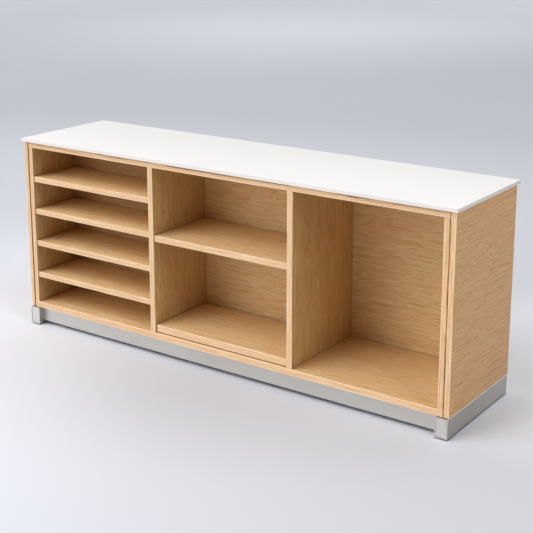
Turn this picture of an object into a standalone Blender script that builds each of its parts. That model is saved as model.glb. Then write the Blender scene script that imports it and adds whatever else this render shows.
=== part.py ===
"""Open credenza: a white slab on an oak case with three bays, standing on a metal plinth.

Metres, +Z up. The origin is on the floor under the middle of the slab. The open
front faces -Y and the sorter bay is at -X. The board on the floor of the middle
bay pulls out along -Y, and the four feet under the plinth screw down along -Z.
"""

from math import cos
from math import pi
from math import radians
from math import sin

import bmesh
import bpy
from mathutils import Matrix
from mathutils import Vector

# Case, over the outer faces of the end panels
CASE_WIDTH = 1.830
CASE_DEPTH = 0.440

# White slab
SLAB_THICKNESS = 0.0125
SLAB_FRONT_OVERHANG = 0.010
SLAB_BACK_OVERHANG = 0.010
SLAB_SIDE_OVERHANG = 0.0085
SLAB_EDGE_RADIUS = 0.0015

# Boards
END_PANEL_THICKNESS = 0.019
REVEAL = 0.002
SIDE_THICKNESS = 0.019
PARTITION_THICKNESS = 0.021
TOP_THICKNESS = 0.021
BOTTOM_THICKNESS = 0.0235
REAR_PANEL_THICKNESS = 0.012
BAY_BACK_THICKNESS = 0.008
BOARD_EASE = 0.0008

# Bays: the right bay takes the width that the other two leave, and the depth that the chase behind it leaves
BAY_HEIGHT = 0.6195
LEFT_BAY_WIDTH = 0.580
MIDDLE_BAY_WIDTH = 0.580
LEFT_BAY_DEPTH = 0.220
MIDDLE_BAY_DEPTH = 0.300
REAR_CHASE_DEPTH = 0.035
BACK_GROOVE_DEPTH = 0.006

# Shelves on pins: heights are measured from the floor of the bay to the shelf's top
SHELF_RECESS = 0.004
SHELF_SIDE_CLEARANCE = 0.0015
SHELF_BACK_CLEARANCE = 0.001
SORTER_SHELF_COUNT = 4
SORTER_SHELF_THICKNESS = 0.0205
SORTER_FIRST_HEIGHT = 0.1225
SORTER_PITCH = 0.1278
MIDDLE_SHELF_THICKNESS = 0.0225
MIDDLE_SHELF_HEIGHT = 0.370

# Shelf pins
PIN_RADIUS = 0.0025
PIN_FLANGE_RADIUS = 0.0036
PIN_DEPTH = 0.0085
PIN_REACH = 0.0085
PIN_CHAMFER = 0.0005
PIN_SETBACK = 0.037

# Pull-out shelf and its runners
PULL_OUT_THICKNESS = 0.026
PULL_OUT_LIFT = 0.0045
PULL_OUT_RECESS = 0.005
PULL_OUT_SIDE_GAP = 0.003
PULL_OUT_BACK_GAP = 0.006
RUNNER_HEIGHT = 0.008
RUNNER_LENGTH = 0.090
RUNNER_ENGAGEMENT = 0.009
RUNNER_PLAY = 0.0006
GROOVE_FRONT_STOP = 0.022
STOP_PEG_RADIUS = 0.0025
STOP_PEG_SETBACK = 0.014
STOP_PEG_RISE = 0.005

# Spacers: dark pieces that keep the reveal open and lift the case off the plinth
REVEAL_SPACER_RECESS = 0.014
BASE_GAP = 0.0015
BASE_SPACER_INSET = 0.007
BASE_SPACER_RECESS = 0.010
SPACER_EASE = 0.0002

# Plinth rails: rectangular tubes under the two ends, with a cap set back in each mouth
RAIL_WIDTH = 0.044
RAIL_HEIGHT = 0.067
RAIL_WALL = 0.004
RAIL_CORNER_RADIUS = 0.0015
RAIL_OUTER_INSET = 0.0005
RAIL_PROUD = 0.008
CAP_RECESS = 0.0008
CAP_PLATE = 0.003
CAP_SKIRT = 0.012
CAP_WALL = 0.002

# Toe kick and rear rail: folded channels between the plinth rails
CHANNEL_SHEET = 0.002
CHANNEL_FOLD_RADIUS = 0.004
CHANNEL_FLANGE = 0.028
CHANNEL_LIFT = 0.013
KICK_RECESS = 0.015
REAR_RAIL_RECESS = 0.015

# Screw-in feet
FOOT_LIFT = 0.004
FOOT_PAD_RADIUS = 0.016
FOOT_PAD_CHAMFER = 0.001
FOOT_STUD_RADIUS = 0.004
FOOT_STUD_LENGTH = 0.030
FOOT_SETBACK = 0.045
FOOT_BOSS_RADIUS = 0.009
FOOT_BOSS_HEIGHT = 0.014

# Clearance between faces that meet, facets of round pieces, and the round shape of a bevel
FIT = 0.0003
PIN_SIDES = 10
FOOT_SIDES = 24
FOLD_STEPS = 3
RAIL_CORNER_STEPS = 3
SLAB_EDGE_STEPS = 2
ROUND_PROFILE = 0.5
MERGE_DISTANCE = 0.000001
SMOOTH_ANGLE = radians(35.0)

# Seats for turned pieces: the axis points up, into a bay from its left wall, or from its right wall
UPRIGHT = Matrix.Identity(4)
FROM_LEFT = Matrix.Rotation(pi / 2, 4, "Y")
FROM_RIGHT = Matrix.Rotation(-pi / 2, 4, "Y")

# Levels from the floor up
RAIL_BOTTOM = FOOT_LIFT
RAIL_TOP = RAIL_BOTTOM + RAIL_HEIGHT
CASE_BOTTOM = RAIL_TOP + BASE_GAP
BAY_FLOOR = CASE_BOTTOM + BOTTOM_THICKNESS
BAY_CEILING = BAY_FLOOR + BAY_HEIGHT
CASE_TOP = BAY_CEILING + TOP_THICKNESS

# Planes from front to back
RIGHT_BAY_DEPTH = CASE_DEPTH - REAR_PANEL_THICKNESS - REAR_CHASE_DEPTH - BAY_BACK_THICKNESS
SLAB_DEPTH = SLAB_FRONT_OVERHANG + CASE_DEPTH + SLAB_BACK_OVERHANG
FRONT = SLAB_FRONT_OVERHANG - SLAB_DEPTH / 2
BACK = FRONT + CASE_DEPTH
BOARD_BACK = BACK - REAR_PANEL_THICKNESS - FIT

# Planes from left to right
CASE_HALF = CASE_WIDTH / 2
CARCASS_HALF = CASE_HALF - END_PANEL_THICKNESS - REVEAL
LEFT_BAY = (-CARCASS_HALF + SIDE_THICKNESS, -CARCASS_HALF + SIDE_THICKNESS + LEFT_BAY_WIDTH)
MIDDLE_BAY = (LEFT_BAY[1] + PARTITION_THICKNESS, LEFT_BAY[1] + PARTITION_THICKNESS + MIDDLE_BAY_WIDTH)
RIGHT_BAY = (MIDDLE_BAY[1] + PARTITION_THICKNESS, CARCASS_HALF - SIDE_THICKNESS)
RAIL_OUTER = CASE_HALF - RAIL_OUTER_INSET
RAIL_INNER = RAIL_OUTER - RAIL_WIDTH

# The pull-out shelf at rest, with the groove that its runners fill
PULL_OUT_X = (MIDDLE_BAY[0] + PULL_OUT_SIDE_GAP, MIDDLE_BAY[1] - PULL_OUT_SIDE_GAP)
PULL_OUT_Y = (FRONT + PULL_OUT_RECESS, FRONT + MIDDLE_BAY_DEPTH - PULL_OUT_BACK_GAP)
PULL_OUT_Z = (BAY_FLOOR + PULL_OUT_LIFT, BAY_FLOOR + PULL_OUT_LIFT + PULL_OUT_THICKNESS)
RUNNER_MIDDLE = (PULL_OUT_Z[0] + PULL_OUT_Z[1]) / 2
RUNNER_Z = (RUNNER_MIDDLE - RUNNER_HEIGHT / 2, RUNNER_MIDDLE + RUNNER_HEIGHT / 2)
GROOVE_Y = (PULL_OUT_Y[0] + GROOVE_FRONT_STOP, PULL_OUT_Y[1] + FIT)
GROOVE_Z = (RUNNER_Z[0] - RUNNER_PLAY, RUNNER_Z[1] + FIT)
RUNNER_Y = (GROOVE_Y[0] + FIT, GROOVE_Y[0] + FIT + RUNNER_LENGTH)


def clear_scene():
    """Remove every object that the file opened with."""
    for old in list(bpy.data.objects):
        bpy.data.objects.remove(old)


def finish(name, colour, roughness, metallic=0.0):
    """Make one plain material."""
    material = bpy.data.materials.new(name)
    material.use_nodes = True
    shader = material.node_tree.nodes["Principled BSDF"]
    shader.inputs["Base Color"].default_value = (*colour, 1.0)
    shader.inputs["Roughness"].default_value = roughness
    shader.inputs["Metallic"].default_value = metallic
    return material


def assembly(name, place=(0.0, 0.0, 0.0)):
    """Make the empty that carries the pieces that move together."""
    carrier = bpy.data.objects.new(name, None)
    carrier.location = place
    bpy.context.scene.collection.objects.link(carrier)
    return carrier


def place_piece(name, mesh, place, carrier):
    """Put a mesh at a world place, carried by an unturned empty."""
    piece = bpy.data.objects.new(name, mesh)
    piece.location = Vector(place)
    if carrier is not None:
        piece.parent = carrier
        piece.location -= carrier.location
    bpy.context.scene.collection.objects.link(piece)
    return piece


def mesh_from(name, shape, material=None, smooth=False):
    """Turn a bmesh into a mesh whose faces point outwards."""
    bmesh.ops.recalc_face_normals(shape, faces=shape.faces)
    mesh = bpy.data.meshes.new(name)
    shape.to_mesh(mesh)
    shape.free()
    if material is not None:
        mesh.materials.append(material)
    if smooth:
        mesh.shade_smooth()
        mesh.set_sharp_from_angle(angle=SMOOTH_ANGLE)
    return mesh


def block(x, y, z):
    """A bmesh box about its own middle, with that middle."""
    low = Vector((x[0], y[0], z[0]))
    high = Vector((x[1], y[1], z[1]))
    shape = bmesh.new()
    bmesh.ops.create_cube(shape, size=1.0)
    bmesh.ops.scale(shape, vec=high - low, verts=shape.verts)
    return shape, (low + high) / 2


def ease_edges(shape, radius, steps=1, along=None):
    """Break the edges of a box, or only those that run along one axis (0, 1 or 2)."""
    edges = list(shape.edges)
    if along is not None:
        edges = [e for e in edges if abs(e.verts[1].co[along] - e.verts[0].co[along]) > MERGE_DISTANCE]
    bmesh.ops.bevel(shape, geom=edges, offset=radius, segments=steps, profile=ROUND_PROFILE, affect="EDGES")


def board(name, x, y, z, material, carrier, ease=BOARD_EASE):
    """A flat board with eased edges, given by its ranges along the three axes."""
    shape, middle = block(x, y, z)
    ease_edges(shape, ease)
    return place_piece(name, mesh_from(name, shape, material), middle, carrier)


def turned(profile, sides, seats=(UPRIGHT,)):
    """Spin (radius, height) points, from the axis out and back to it, into a closed solid at each seat.

    A seat is a matrix that stands the Z axis of the spin where the solid goes.
    """
    shape = bmesh.new()
    for seat in seats:
        others = set(shape.verts)
        points = [shape.verts.new((radius, 0.0, height)) for radius, height in profile]
        edges = [shape.edges.new(pair) for pair in zip(points, points[1:])]
        bmesh.ops.spin(shape, geom=points + edges, cent=(0.0, 0.0, 0.0), axis=(0.0, 0.0, 1.0),
                       angle=2 * pi, steps=sides, use_merge=True)
        spun = [vert for vert in shape.verts if vert not in others]
        bmesh.ops.transform(shape, matrix=seat, verts=spun)
        bmesh.ops.remove_doubles(shape, verts=spun, dist=MERGE_DISTANCE)
    return shape


def rods(radius, low, high, sides, seats=(UPRIGHT,)):
    """A plain cylinder from low to high along the axis of each seat."""
    return turned([(0.0, high), (radius, high), (radius, low), (0.0, low)], sides, seats)


def hide_tool(tool):
    """Mark an object that only shapes others."""
    tool.hide_render = True
    tool.display_type = "WIRE"
    return tool


def box_tool(name, x, y, z):
    """A hidden box that cuts other pieces."""
    shape, middle = block(x, y, z)
    return hide_tool(place_piece(name, mesh_from(name, shape), middle, None))


def rod_tool(name, radius, low, high, sides, seats):
    """Hidden rods, one at each seat, that cut another piece or thicken it."""
    mesh = mesh_from(name, rods(radius, low, high, sides, seats))
    return hide_tool(place_piece(name, mesh, (0.0, 0.0, 0.0), None))


def shape_with(piece, tool, operation="DIFFERENCE"):
    """Cut a tool out of a piece, or join it on."""
    step = piece.modifiers.new(tool.name, "BOOLEAN")
    step.operation = operation
    step.object = tool


def build_slab(finishes, carrier):
    """The white slab, which lies on the case and overhangs it all round."""
    half = CASE_HALF + SLAB_SIDE_OVERHANG
    y = (FRONT - SLAB_FRONT_OVERHANG, BACK + SLAB_BACK_OVERHANG)
    shape, middle = block((-half, half), y, (CASE_TOP + FIT, CASE_TOP + SLAB_THICKNESS))
    ease_edges(shape, SLAB_EDGE_RADIUS, steps=SLAB_EDGE_STEPS)
    place_piece("top_slab", mesh_from("top_slab", shape, finishes["slab"], smooth=True), middle, carrier)


def build_case(finishes, carrier):
    """The carcass boards, their grooved-in bay backs, the rear panel and the end panels.

    The top and bottom boards run over the ends of the sides and partitions.
    Returns the four uprights by name.
    """
    oak = finishes["oak"]
    depth = (FRONT, BOARD_BACK)
    width = (-CARCASS_HALF, CARCASS_HALF)
    upright = (BAY_FLOOR + FIT, BAY_CEILING - FIT)
    lids = [board("case_bottom", width, depth, (CASE_BOTTOM, BAY_FLOOR), oak, carrier),
            board("case_top", width, depth, (BAY_CEILING, CASE_TOP), oak, carrier)]
    walls = {"left_carcass_side": (-CARCASS_HALF, LEFT_BAY[0]),
             "left_partition": (LEFT_BAY[1], MIDDLE_BAY[0]),
             "right_partition": (MIDDLE_BAY[1], RIGHT_BAY[0]),
             "right_carcass_side": (RIGHT_BAY[1], CARCASS_HALF)}
    uprights = {name: board(name, x, depth, upright, oak, carrier) for name, x in walls.items()}

    beside = list(uprights.values())
    bays = [("left", LEFT_BAY, LEFT_BAY_DEPTH), ("middle", MIDDLE_BAY, MIDDLE_BAY_DEPTH),
            ("right", RIGHT_BAY, RIGHT_BAY_DEPTH)]
    for index, (name, bay, bay_depth) in enumerate(bays):
        groove_x = (bay[0] - BACK_GROOVE_DEPTH, bay[1] + BACK_GROOVE_DEPTH)
        groove_y = (FRONT + bay_depth - FIT, FRONT + bay_depth + BAY_BACK_THICKNESS + FIT)
        groove_z = (BAY_FLOOR - BACK_GROOVE_DEPTH, BAY_CEILING + BACK_GROOVE_DEPTH)
        groove = box_tool(f"{name}_back_groove", groove_x, groove_y, groove_z)
        for grooved in lids + beside[index:index + 2]:
            shape_with(grooved, groove)
        inside = [(low + FIT, high - FIT) for low, high in (groove_x, groove_y, groove_z)]
        board(f"{name}_bay_back", *inside, oak, carrier)

    board("rear_panel", width, (BACK - REAR_PANEL_THICKNESS, BACK), (CASE_BOTTOM, CASE_TOP), oak, carrier)
    for name, sign in (("left", -1), ("right", 1)):
        panel = sorted((sign * CASE_HALF, sign * (CASE_HALF - END_PANEL_THICKNESS)))
        board(f"{name}_end_panel", panel, (FRONT, BACK), (CASE_BOTTOM, CASE_TOP), oak, carrier)
        spacer = sorted((sign * (CARCASS_HALF + FIT), sign * (CARCASS_HALF + REVEAL - FIT)))
        spacer_y = (FRONT + REVEAL_SPACER_RECESS, BACK - REVEAL_SPACER_RECESS)
        spacer_z = (CASE_BOTTOM + REVEAL_SPACER_RECESS, CASE_TOP - REVEAL_SPACER_RECESS)
        board(f"{name}_reveal_spacer", spacer, spacer_y, spacer_z, finishes["rubber"], carrier, SPACER_EASE)
    return uprights


def pin_mesh(material):
    """A flanged shelf pin on the Z axis: its stem is below zero, its peg above."""
    flange = SHELF_SIDE_CLEARANCE - FIT
    tip = PIN_RADIUS - PIN_CHAMFER
    outline = [(0.0, PIN_REACH), (tip, PIN_REACH), (PIN_RADIUS, PIN_REACH - PIN_CHAMFER),
               (PIN_RADIUS, flange), (PIN_FLANGE_RADIUS, flange), (PIN_FLANGE_RADIUS, FIT), (PIN_RADIUS, FIT),
               (PIN_RADIUS, PIN_CHAMFER - PIN_DEPTH), (tip, -PIN_DEPTH), (0.0, -PIN_DEPTH)]
    return mesh_from("shelf_pin", turned(outline, PIN_SIDES), material, smooth=True)


def build_shelf(name, bay, bay_depth, top, thickness, finishes, carrier):
    """One loose shelf in a bay, and the seats of its pins in the left and the right wall."""
    x = (bay[0] + SHELF_SIDE_CLEARANCE, bay[1] - SHELF_SIDE_CLEARANCE)
    y = (FRONT + SHELF_RECESS, FRONT + bay_depth - SHELF_BACK_CLEARANCE)
    board(name, x, y, (top - thickness, top), finishes["oak"], carrier)
    height = top - thickness - FIT - PIN_RADIUS
    rows = {"front": y[0] + PIN_SETBACK, "rear": y[1] - PIN_SETBACK}
    left = {row: Matrix.Translation((bay[0], pin_y, height)) @ FROM_LEFT for row, pin_y in rows.items()}
    right = {row: Matrix.Translation((bay[1], pin_y, height)) @ FROM_RIGHT for row, pin_y in rows.items()}
    return left, right


def build_shelves(uprights, finishes, carrier):
    """The sorter shelves, the shelf of the middle bay, their pins and the pin holes in the walls."""
    shelves = [(f"sorter_shelf_{index + 1}", LEFT_BAY, LEFT_BAY_DEPTH,
                BAY_FLOOR + SORTER_FIRST_HEIGHT + index * SORTER_PITCH, SORTER_SHELF_THICKNESS)
               for index in range(SORTER_SHELF_COUNT)]
    shelves.append(("middle_shelf", MIDDLE_BAY, MIDDLE_BAY_DEPTH, BAY_FLOOR + MIDDLE_SHELF_HEIGHT,
                    MIDDLE_SHELF_THICKNESS))
    walls_beside = {LEFT_BAY: ("left_carcass_side", "left_partition"),
                    MIDDLE_BAY: ("left_partition", "right_partition")}
    pin = pin_mesh(finishes["steel"])
    holes = {"left_carcass_side": [], "left_partition": [], "right_partition": []}
    for name, bay, bay_depth, top, thickness in shelves:
        pin_seats = build_shelf(name, bay, bay_depth, top, thickness, finishes, carrier)
        for side, wall, seats in zip(("left", "right"), walls_beside[bay], pin_seats):
            holes[wall].extend(seats.values())
            for row, seat in seats.items():
                fitted = place_piece(f"{name}_pin_{row}_{side}", pin, seat.translation, carrier)
                fitted.rotation_euler = seat.to_euler()
    for wall, seats in holes.items():
        drill = rod_tool(f"{wall}_pin_holes", PIN_RADIUS + FIT, -PIN_DEPTH - FIT, PIN_REACH, PIN_SIDES, seats)
        shape_with(uprights[wall], drill)


def build_pull_out(finishes, case):
    """The pull-out shelf: grooved edges ride on bars, which stop it at the groove's end and at its pegs."""
    front_middle = (sum(PULL_OUT_X) / 2, PULL_OUT_Y[0], RUNNER_MIDDLE)
    carrier = assembly("pull_out", front_middle)
    shelf = board("pull_out_shelf", PULL_OUT_X, PULL_OUT_Y, PULL_OUT_Z, finishes["oak"], carrier)
    peg_height = GROOVE_Z[1] + STOP_PEG_RISE - PULL_OUT_Z[0]
    peg_shape = rods(STOP_PEG_RADIUS, 0.0, peg_height, PIN_SIDES)
    peg = mesh_from("stop_peg", peg_shape, finishes["steel"], smooth=True)
    seats = []
    for name, sign, wall in (("left", 1, MIDDLE_BAY[0]), ("right", -1, MIDDLE_BAY[1])):
        edge = wall + sign * PULL_OUT_SIDE_GAP
        tip = edge + sign * RUNNER_ENGAGEMENT
        groove = sorted((edge - sign * FIT, tip + sign * RUNNER_PLAY))
        shape_with(shelf, box_tool(f"{name}_runner_groove", groove, GROOVE_Y, GROOVE_Z))
        bar = sorted((wall + sign * FIT, tip))
        board(f"{name}_runner_bar", bar, RUNNER_Y, RUNNER_Z, finishes["steel"], case)
        place = ((edge + tip) / 2, PULL_OUT_Y[1] - STOP_PEG_SETBACK, PULL_OUT_Z[0])
        place_piece(f"{name}_stop_peg", peg, place, carrier)
        seats.append(Matrix.Translation(place))
    drill = rod_tool("peg_holes", STOP_PEG_RADIUS + FIT, -FIT, peg_height + FIT, PIN_SIDES, seats)
    shape_with(shelf, drill)


def foot_mesh(material):
    """A screw-in foot with its stud, standing on the XY plane."""
    pad_top = FOOT_LIFT - FIT
    outline = [(0.0, FOOT_STUD_LENGTH), (FOOT_STUD_RADIUS, FOOT_STUD_LENGTH), (FOOT_STUD_RADIUS, pad_top),
               (FOOT_PAD_RADIUS, pad_top), (FOOT_PAD_RADIUS, FOOT_PAD_CHAMFER),
               (FOOT_PAD_RADIUS - FOOT_PAD_CHAMFER, 0.0), (0.0, 0.0)]
    return mesh_from("screw_foot", turned(outline, FOOT_SIDES), material, smooth=True)


def end_cap_mesh(material):
    """A plug for a rail's mouth, facing -Y from y = 0, hollow behind its plate."""
    half_x = RAIL_WIDTH / 2 - RAIL_WALL - FIT
    half_z = RAIL_HEIGHT / 2 - RAIL_WALL - FIT
    shape, middle = block((-half_x, half_x), (0.0, CAP_SKIRT), (-half_z, half_z))
    bmesh.ops.translate(shape, vec=middle, verts=shape.verts)
    mouth = max(shape.faces, key=lambda face: face.calc_center_median().y)
    bmesh.ops.inset_region(shape, faces=[mouth], thickness=CAP_WALL)
    floor = bmesh.ops.extrude_discrete_faces(shape, faces=[mouth])["faces"][0]
    bmesh.ops.translate(shape, vec=(0.0, CAP_PLATE - CAP_SKIRT, 0.0), verts=floor.verts)
    return mesh_from("rail_end_cap", shape, material)


def build_rails(finishes, carrier):
    """The two tube rails with their end caps, foot bosses, feet and the strips that carry the case."""
    metal = finishes["metal"]
    rail_y = (FRONT - RAIL_PROUD, BACK)
    foot_y = {"front": rail_y[0] + FOOT_SETBACK, "rear": rail_y[1] - FOOT_SETBACK}
    middle_z = (RAIL_BOTTOM + RAIL_TOP) / 2
    bore_z = (RAIL_BOTTOM + RAIL_WALL, RAIL_TOP - RAIL_WALL)
    foot = foot_mesh(finishes["rubber"])
    cap = end_cap_mesh(metal)
    for name, sign in (("left", -1), ("right", 1)):
        rail_x = sorted((sign * RAIL_INNER, sign * RAIL_OUTER))
        middle_x = sum(rail_x) / 2
        shape, middle = block(rail_x, rail_y, (RAIL_BOTTOM, RAIL_TOP))
        ease_edges(shape, RAIL_CORNER_RADIUS, steps=RAIL_CORNER_STEPS, along=1)
        rail_mesh = mesh_from(f"{name}_base_rail", shape, metal, smooth=True)
        rail = place_piece(f"{name}_base_rail", rail_mesh, middle, carrier)
        bore_x = (rail_x[0] + RAIL_WALL, rail_x[1] - RAIL_WALL)
        bore_y = (rail_y[0] - CAP_PLATE, rail_y[1] + CAP_PLATE)
        shape_with(rail, box_tool(f"{name}_rail_bore", bore_x, bore_y, bore_z))
        seats = [Matrix.Translation((middle_x, y, bore_z[0])) for y in foot_y.values()]
        boss = rod_tool(f"{name}_foot_boss", FOOT_BOSS_RADIUS, -RAIL_WALL / 2, FOOT_BOSS_HEIGHT,
                        FOOT_SIDES, seats)
        shape_with(rail, boss, "UNION")
        thread = rod_tool(f"{name}_foot_thread", FOOT_STUD_RADIUS + FIT, -RAIL_WALL - FIT,
                          FOOT_BOSS_HEIGHT + FIT, FOOT_SIDES, seats)
        shape_with(rail, thread)

        place_piece(f"{name}_rail_cap_front", cap, (middle_x, rail_y[0] + CAP_RECESS, middle_z), carrier)
        rear_place = (middle_x, rail_y[1] - CAP_RECESS, middle_z)
        rear_cap = place_piece(f"{name}_rail_cap_rear", cap, rear_place, carrier)
        rear_cap.rotation_euler = (0.0, 0.0, pi)
        for row, y in foot_y.items():
            screw = assembly(f"{name}_{row}_screw", (middle_x, y, 0.0))
            place_piece(f"{name}_foot_{row}", foot, (middle_x, y, 0.0), screw)
        strip_x = (rail_x[0] + BASE_SPACER_INSET, rail_x[1] - BASE_SPACER_INSET)
        strip_y = (FRONT + BASE_SPACER_RECESS, BACK - BASE_SPACER_RECESS)
        strip_z = (RAIL_TOP + FIT, CASE_BOTTOM - FIT)
        board(f"{name}_base_spacer", strip_x, strip_y, strip_z, finishes["rubber"], carrier, SPACER_EASE)


def fold(centre, radius, start):
    """Points of a quarter-turn arc about a centre, from a start angle in degrees upwards."""
    angles = [radians(start + 90.0 * step / FOLD_STEPS) for step in range(FOLD_STEPS + 1)]
    return [(centre[0] + radius * cos(angle), centre[1] + radius * sin(angle)) for angle in angles]


def channel_mesh(name, length, height, material):
    """A folded sheet channel along X: its web is at y = 0, and both flanges reach towards +Y."""
    upper = (CHANNEL_FOLD_RADIUS, height - CHANNEL_FOLD_RADIUS)
    lower = (CHANNEL_FOLD_RADIUS, CHANNEL_FOLD_RADIUS)
    inner_radius = CHANNEL_FOLD_RADIUS - CHANNEL_SHEET
    outside = [(CHANNEL_FLANGE, height), *fold(upper, CHANNEL_FOLD_RADIUS, 90.0),
               *fold(lower, CHANNEL_FOLD_RADIUS, 180.0), (CHANNEL_FLANGE, 0.0)]
    inside = [(CHANNEL_FLANGE, height - CHANNEL_SHEET), *fold(upper, inner_radius, 90.0),
              *fold(lower, inner_radius, 180.0), (CHANNEL_FLANGE, CHANNEL_SHEET)]
    shape = bmesh.new()
    corners = [shape.verts.new((-length / 2, y, z)) for y, z in outside + inside[::-1]]
    section = shape.faces.new(corners)
    drawn = bmesh.ops.extrude_face_region(shape, geom=[section])["geom"]
    moved = [item for item in drawn if isinstance(item, bmesh.types.BMVert)]
    bmesh.ops.translate(shape, vec=(length, 0.0, 0.0), verts=moved)
    return mesh_from(name, shape, material, smooth=True)


def build_channels(finishes, carrier):
    """The toe kick at the front and the rear rail, both folded channels that close the plinth."""
    length = 2 * (RAIL_INNER - FIT)
    height = CASE_BOTTOM - FIT - CHANNEL_LIFT
    mesh = channel_mesh("plinth_channel", length, height, finishes["metal"])
    place_piece("toe_kick_plate", mesh, (0.0, FRONT + KICK_RECESS, CHANNEL_LIFT), carrier)
    rear = place_piece("rear_cross_rail", mesh, (0.0, BACK - REAR_RAIL_RECESS, CHANNEL_LIFT), carrier)
    rear.rotation_euler = (0.0, 0.0, pi)


def main():
    """Build the credenza."""
    clear_scene()
    finishes = {"oak": finish("oak_veneer", (0.60, 0.39, 0.20), 0.50),
                "slab": finish("white_slab", (0.88, 0.88, 0.87), 0.35),
                "metal": finish("silver_metal", (0.55, 0.55, 0.54), 0.40, 0.60),
                "steel": finish("bright_steel", (0.62, 0.62, 0.62), 0.30, 1.0),
                "rubber": finish("dark_rubber", (0.03, 0.03, 0.03), 0.80)}
    case = assembly("credenza_case")
    build_slab(finishes, case)
    uprights = build_case(finishes, case)
    build_shelves(uprights, finishes, case)
    build_pull_out(finishes, case)
    build_rails(finishes, case)
    build_channels(finishes, case)


main()
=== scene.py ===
"""Looks of the open credenza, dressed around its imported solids.

The veneered boards, pins, runners, feet and plinth keep their own solids and get
finishes whose grain or brushing follows each piece. New pieces are the solid oak
lippings on the boards' edges, the slab with its rounded edge, and the screws that
hold the rear panel. Metres, +Z up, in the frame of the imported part.
"""

import logging
from collections.abc import Iterable, Sequence
from dataclasses import dataclass
from enum import Enum
from functools import reduce
from math import radians
from typing import ClassVar

import bpy
import numpy as np
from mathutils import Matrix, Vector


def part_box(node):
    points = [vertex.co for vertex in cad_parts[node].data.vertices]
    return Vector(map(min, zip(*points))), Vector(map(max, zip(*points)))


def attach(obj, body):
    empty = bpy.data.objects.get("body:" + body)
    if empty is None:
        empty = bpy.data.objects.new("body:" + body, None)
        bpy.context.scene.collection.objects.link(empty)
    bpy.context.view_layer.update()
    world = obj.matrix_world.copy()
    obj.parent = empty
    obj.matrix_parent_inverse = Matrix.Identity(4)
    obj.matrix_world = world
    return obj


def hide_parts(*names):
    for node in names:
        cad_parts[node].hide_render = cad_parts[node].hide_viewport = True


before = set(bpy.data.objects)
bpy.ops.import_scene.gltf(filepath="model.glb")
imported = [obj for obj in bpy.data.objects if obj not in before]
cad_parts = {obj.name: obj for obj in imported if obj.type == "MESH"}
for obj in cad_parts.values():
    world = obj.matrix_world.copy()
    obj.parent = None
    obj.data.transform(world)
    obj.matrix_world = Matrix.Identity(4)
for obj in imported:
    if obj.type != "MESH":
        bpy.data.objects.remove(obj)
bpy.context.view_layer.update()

LOG = logging.getLogger("credenza")
IMAGE_SIDE = 533
SENSOR_WIDTH = 36.0
SMOOTH_ANGLE = radians(40.0)
ARRIS = "arris"
NOISE_MIDDLE = 0.5

Colour = tuple[float, float, float]
Point = tuple[float, float, float]
Box = tuple[Point, Point]
Size = tuple[float, float]
Span = tuple[float, float]
Stop = tuple[float, Colour]
Operand = "Signal | float"

UNTINTED: Colour = (1.0, 1.0, 1.0)
WALL_GRACE: Span = (-0.0020, -0.0010)


class Slot(Enum):
    """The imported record's material slots of new pieces."""

    OAK = "oak_veneer"
    SLAB = "white_slab"
    STEEL = "bright_steel"


class Body(Enum):
    """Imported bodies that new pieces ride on."""

    CASE = "case"
    PULL_OUT = "pull_out"


class Run(Enum):
    """The axis that a piece's grain or brushing runs along."""

    X = 0
    Y = 1
    Z = 2


class Signal:
    """A shader value: arithmetic on it adds Math nodes to its graph."""

    def __init__(self, graph: "Graph", socket: bpy.types.NodeSocket) -> None:
        """Wrap one output socket of a graph."""
        self.graph = graph
        self.socket = socket

    def _math(self, operation: str, first: Operand, second: Operand) -> "Signal":
        """Add the Math node of one operation."""
        return self.graph.node("ShaderNodeMath", {"operation": operation}, {0: first, 1: second})

    def __add__(self, other: Operand) -> "Signal":
        """Sum of two values."""
        return self._math("ADD", self, other)

    def __radd__(self, other: Operand) -> "Signal":
        """Sum with a number on the left."""
        return self._math("ADD", other, self)

    def __sub__(self, other: Operand) -> "Signal":
        """Difference of two values."""
        return self._math("SUBTRACT", self, other)

    def __rsub__(self, other: Operand) -> "Signal":
        """Difference from a number on the left."""
        return self._math("SUBTRACT", other, self)

    def __mul__(self, other: Operand) -> "Signal":
        """Product of two values."""
        return self._math("MULTIPLY", self, other)

    def __rmul__(self, other: Operand) -> "Signal":
        """Product with a number on the left."""
        return self._math("MULTIPLY", other, self)

    def least(self, other: Operand) -> "Signal":
        """The smaller of two values."""
        return self._math("MINIMUM", self, other)

    def most(self, other: Operand) -> "Signal":
        """The larger of two values."""
        return self._math("MAXIMUM", self, other)

    def step(self, low: float, high: float) -> "Signal":
        """Smooth rise from 0 at low to 1 at high.

        Args:
            low: value below which the result is 0.
            high: value above which the result is 1.

        Returns:
            The rising value.
        """
        return self.graph.node("ShaderNodeMapRange", {"interpolation_type": "SMOOTHSTEP"},
                               {"Value": self, "From Min": low, "From Max": high})


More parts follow.
